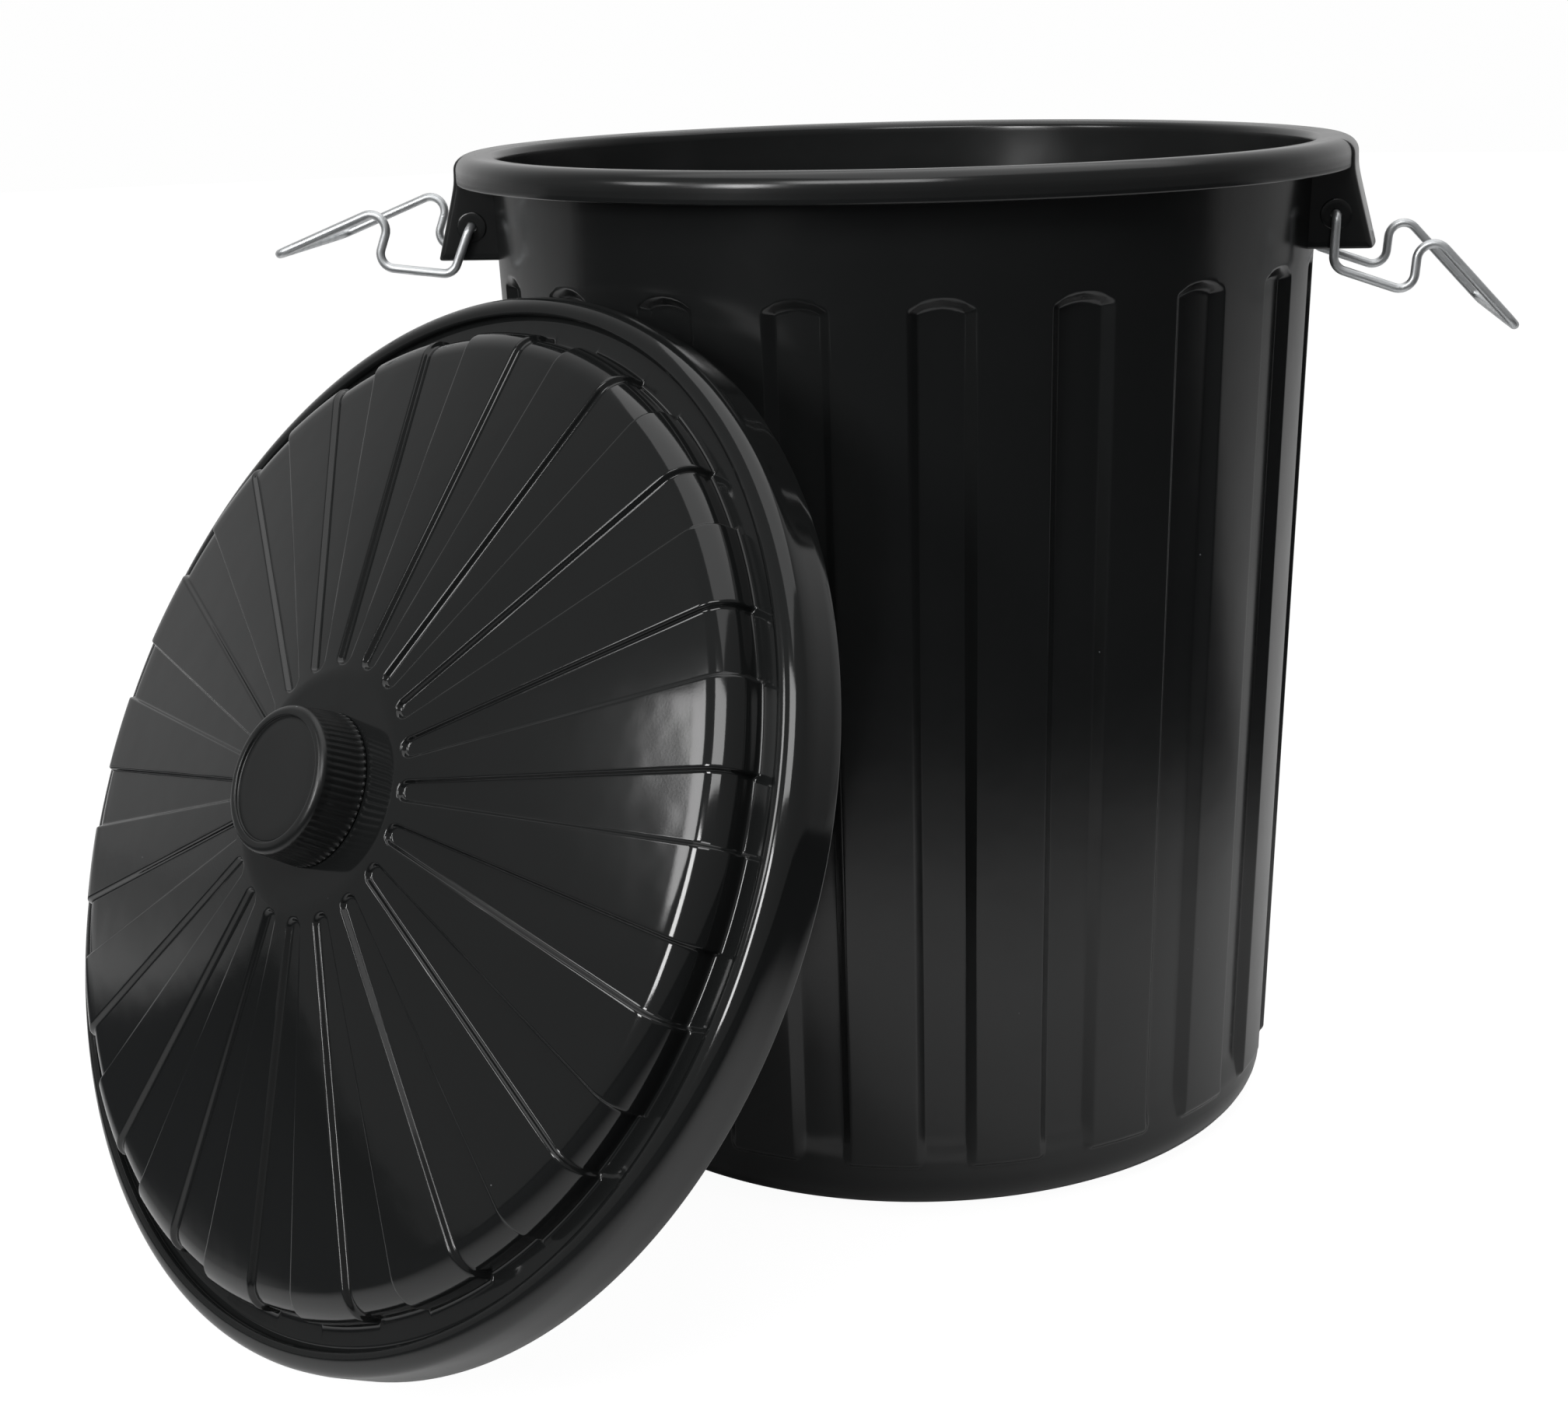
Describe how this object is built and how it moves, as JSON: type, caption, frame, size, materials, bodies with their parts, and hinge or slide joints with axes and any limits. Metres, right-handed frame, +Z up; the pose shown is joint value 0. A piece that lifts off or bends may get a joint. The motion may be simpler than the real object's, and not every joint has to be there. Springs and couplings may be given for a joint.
{
  "type": "fluted round plastic bin with lid",
  "caption": "Tapered round bin with fluted walls and a rolled rim, a domed fluted lid with a round knob, and wire clip handles hinged in bracket ears; the lid leans on it.",
  "frame": {"origin": "centre of the bin's base, on the floor", "axes": "+Z up; the two bracket ears and their handles stand on +X and -X; the lid leans on the side between -Y and -X"},
  "size_m": [0.7811, 0.7286, 0.554],
  "materials": {
    "bin_plastic": "glossy black moulded polypropylene",
    "lid_plastic": "glossy black moulded polypropylene",
    "knob_plastic": "satin black moulded polypropylene",
    "handle_wire": "bright zinc-plated steel wire"
  },
  "bodies": {
    "bin": {"bin": "bin_plastic"},
    "lid": {"lid": "lid_plastic", "lid_knob": "knob_plastic"},
    "right_handle": {"right_handle": "handle_wire"},
    "left_handle": {"left_handle": "handle_wire"}
  },
  "joints": [
    {"name": "lid_lift", "type": "slide", "parent": "bin", "child": "lid", "axis": [-0.5777, -0.6885, 0.4384], "range_m": [0, 0.35]},
    {"name": "right_handle_swing", "type": "hinge", "parent": "bin", "child": "right_handle", "pos_m": [0.2347, 0, 0.5148], "axis": [0, -1, 0], "range_deg": [-26, 103]},
    {"name": "left_handle_swing", "type": "hinge", "parent": "bin", "child": "left_handle", "pos_m": [-0.2347, 0, 0.5148], "axis": [0, 1, 0], "range_deg": [-51, 77.5]}
  ]
}
